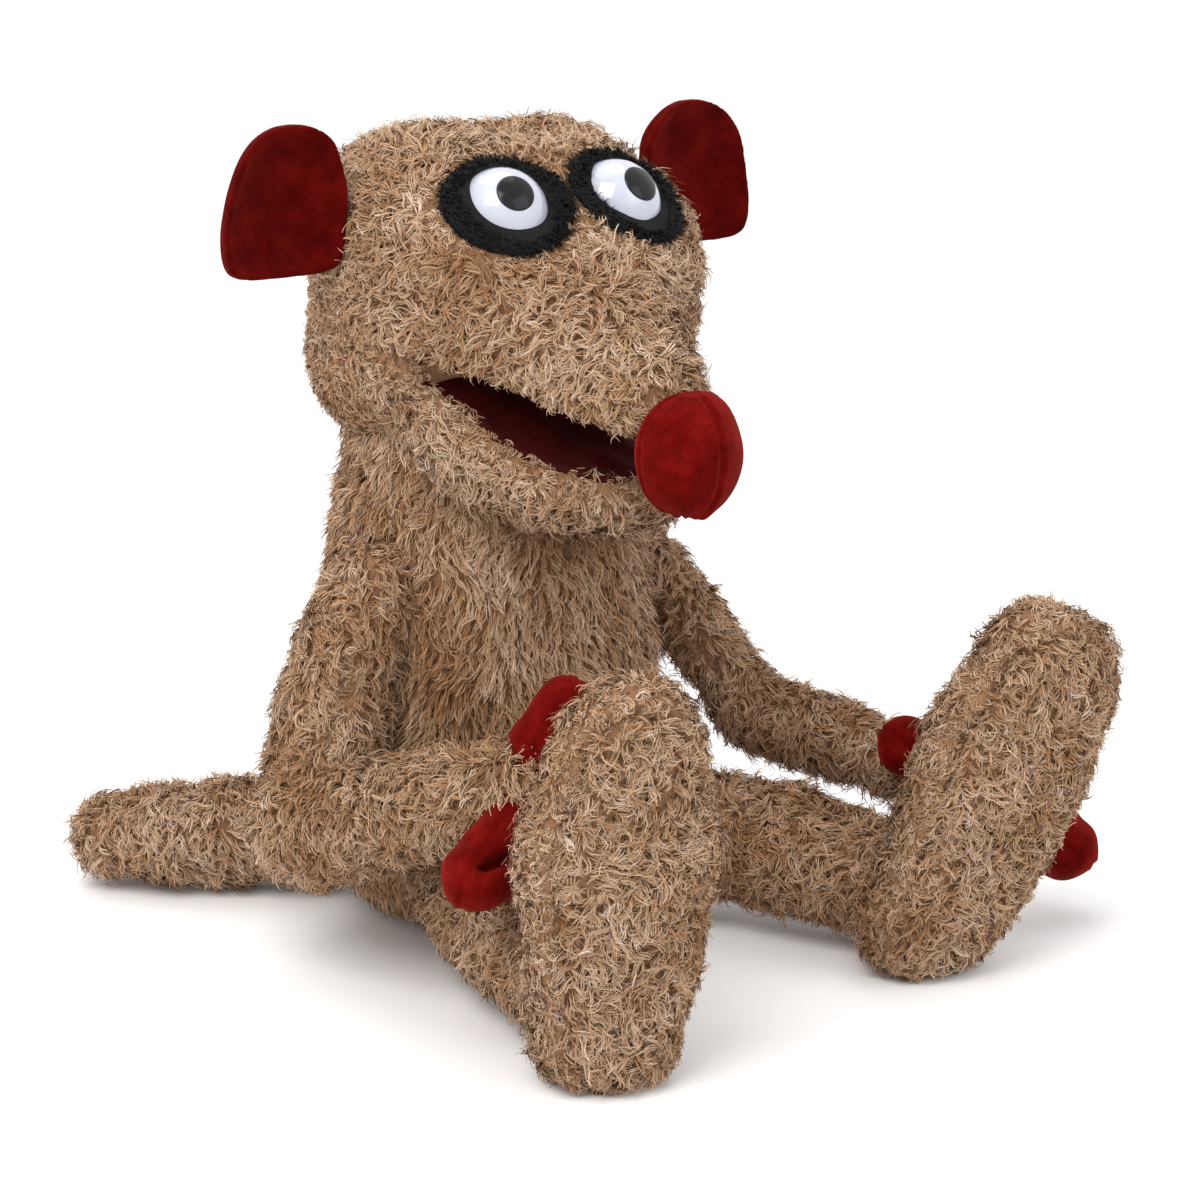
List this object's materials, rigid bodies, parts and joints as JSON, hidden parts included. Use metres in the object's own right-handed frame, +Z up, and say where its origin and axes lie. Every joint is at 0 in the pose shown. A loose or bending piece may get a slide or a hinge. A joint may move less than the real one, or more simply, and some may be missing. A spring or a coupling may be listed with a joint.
{
  "type": "stuffed toy animal",
  "caption": "Seated curly-plush toy animal with opening mouth, velboa ears, nose and hands, floppy limbs, large feet and a short thick tail.",
  "frame": {"origin": "on the floor under the belly, on the flat seat panel the toy rests on", "axes": "+Z up from the seat, -Y the way the toy faces, +X the toy's own left"},
  "size_m": [0.277, 0.3173, 0.297],
  "materials": {
    "curly_plush": "curly long-pile plush",
    "red_velboa": "short-pile velboa",
    "black_plush": "short-pile plush",
    "mouth_lining": "smooth woven lining",
    "filling": "polyester fibre",
    "pellet_cloth": "woven bag of pellets",
    "eye_plastic": "gloss",
    "pupil_plastic": "gloss",
    "washer_plastic": "matte"
  },
  "bodies": {
    "torso": {"torso_skin": "curly_plush", "torso_stuffing": "filling", "seat_panel": "curly_plush", "pellet_bag": "pellet_cloth"},
    "neck": {"neck_skin": "curly_plush", "neck_stuffing": "filling"},
    "head": {"head_skin": "curly_plush", "head_stuffing": "filling", "muzzle_skin": "curly_plush", "muzzle_stuffing": "filling", "palate_lining": "mouth_lining", "nose": "red_velboa", "eye_patch_R": "black_plush", "eye_patch_L": "black_plush", "eye_R": "eye_plastic", "eye_L": "eye_plastic", "pupil_R": "pupil_plastic", "pupil_L": "pupil_plastic", "eye_washer_R": "washer_plastic", "eye_washer_L": "washer_plastic"},
    "jaw": {"jaw_skin": "curly_plush", "jaw_stuffing": "filling", "jaw_lining": "mouth_lining"},
    "tail": {"tail_skin": "curly_plush", "tail_stuffing": "filling"},
    "ear_R": {"ear_front_R": "red_velboa", "ear_back_R": "red_velboa"},
    "upper_arm_R": {"upper_arm_skin_R": "curly_plush", "upper_arm_stuffing_R": "filling"},
    "forearm_R": {"forearm_skin_R": "curly_plush", "forearm_stuffing_R": "filling"},
    "hand_R": {"palm_R": "red_velboa", "thumb_R": "red_velboa", "finger_R": "red_velboa"},
    "leg_R": {"leg_skin_R": "curly_plush", "leg_stuffing_R": "filling"},
    "foot_R": {"foot_upper_R": "curly_plush", "foot_sole_R": "curly_plush", "foot_stuffing_R": "filling"},
    "ear_L": {"ear_front_L": "red_velboa", "ear_back_L": "red_velboa"},
    "upper_arm_L": {"upper_arm_skin_L": "curly_plush", "upper_arm_stuffing_L": "filling"},
    "forearm_L": {"forearm_skin_L": "curly_plush", "forearm_stuffing_L": "filling"},
    "hand_L": {"palm_L": "red_velboa", "thumb_L": "red_velboa", "finger_L": "red_velboa"},
    "leg_L": {"leg_skin_L": "curly_plush", "leg_stuffing_L": "filling"},
    "foot_L": {"foot_upper_L": "curly_plush", "foot_sole_L": "curly_plush", "foot_stuffing_L": "filling"}
  },
  "joints": [
    {"name": "neck_turn", "type": "hinge", "parent": "torso", "child": "neck", "pos_m": [0, 0.005, 0.16], "axis": [0, 0, 1], "range_deg": [-25, 25]},
    {"name": "head_nod", "type": "hinge", "parent": "neck", "child": "head", "pos_m": [0, 0.005, 0.198], "axis": [-0.9919, 0.1218, 0.0349], "range_deg": [-4, 12]},
    {"name": "jaw_open", "type": "hinge", "parent": "head", "child": "jaw", "pos_m": [-0.00385, -0.02979, 0.20999], "axis": [0.9919, -0.1218, -0.0349], "range_deg": [-7, 8]},
    {"name": "ear_fold_R", "type": "hinge", "parent": "head", "child": "ear_R", "pos_m": [-0.06447, 0.00989, 0.2683], "axis": [0.0346, -0.0043, 0.9994], "range_deg": [-20, 20]},
    {"name": "shoulder_R", "type": "hinge", "parent": "torso", "child": "upper_arm_R", "pos_m": [-0.057, -0.002, 0.136], "axis": [0, 1, 0], "range_deg": [0, 50]},
    {"name": "elbow_R", "type": "hinge", "parent": "upper_arm_R", "child": "forearm_R", "pos_m": [-0.084, 0, 0.051], "axis": [-1, 0, 0], "range_deg": [-5, 25]},
    {"name": "wrist_R", "type": "hinge", "parent": "forearm_R", "child": "hand_R", "pos_m": [-0.078, -0.092, 0.086], "axis": [-1, 0, 0], "range_deg": [-8, 20]},
    {"name": "hip_R", "type": "hinge", "parent": "torso", "child": "leg_R", "pos_m": [-0.038, -0.034, 0.03], "axis": [0, 0, -1], "range_deg": [-12, 4]},
    {"name": "ankle_R", "type": "hinge", "parent": "leg_R", "child": "foot_R", "pos_m": [-0.071, -0.126, 0.024], "axis": [0.9336, -0.3584, 0], "range_deg": [-6, 12]},
    {"name": "ear_fold_L", "type": "hinge", "parent": "head", "child": "ear_L", "pos_m": [0.06845, -0.00643, 0.26362], "axis": [0.0346, -0.0043, 0.9994], "range_deg": [-20, 20]},
    {"name": "shoulder_L", "type": "hinge", "parent": "torso", "child": "upper_arm_L", "pos_m": [0.057, -0.002, 0.136], "axis": [0, -1, 0], "range_deg": [0, 50]},
    {"name": "elbow_L", "type": "hinge", "parent": "upper_arm_L", "child": "forearm_L", "pos_m": [0.09, -0.043, 0.067], "axis": [-1, 0, 0], "range_deg": [-3, 25]},
    {"name": "wrist_L", "type": "hinge", "parent": "forearm_L", "child": "hand_L", "pos_m": [0.107, -0.098, 0.057], "axis": [-1, 0, 0], "range_deg": [-6, 20]},
    {"name": "hip_L", "type": "hinge", "parent": "torso", "child": "leg_L", "pos_m": [0.038, -0.034, 0.03], "axis": [0, 0, 1], "range_deg": [-12, 4]},
    {"name": "ankle_L", "type": "hinge", "parent": "leg_L", "child": "foot_L", "pos_m": [0.079, -0.129, 0.024], "axis": [0.9511, -0.309, 0], "range_deg": [-6, 12]},
    {"name": "tail_wag", "type": "hinge", "parent": "torso", "child": "tail", "pos_m": [-0.028, 0.052, 0.025], "axis": [0, 0, 1], "range_deg": [-20, 20]}
  ]
}
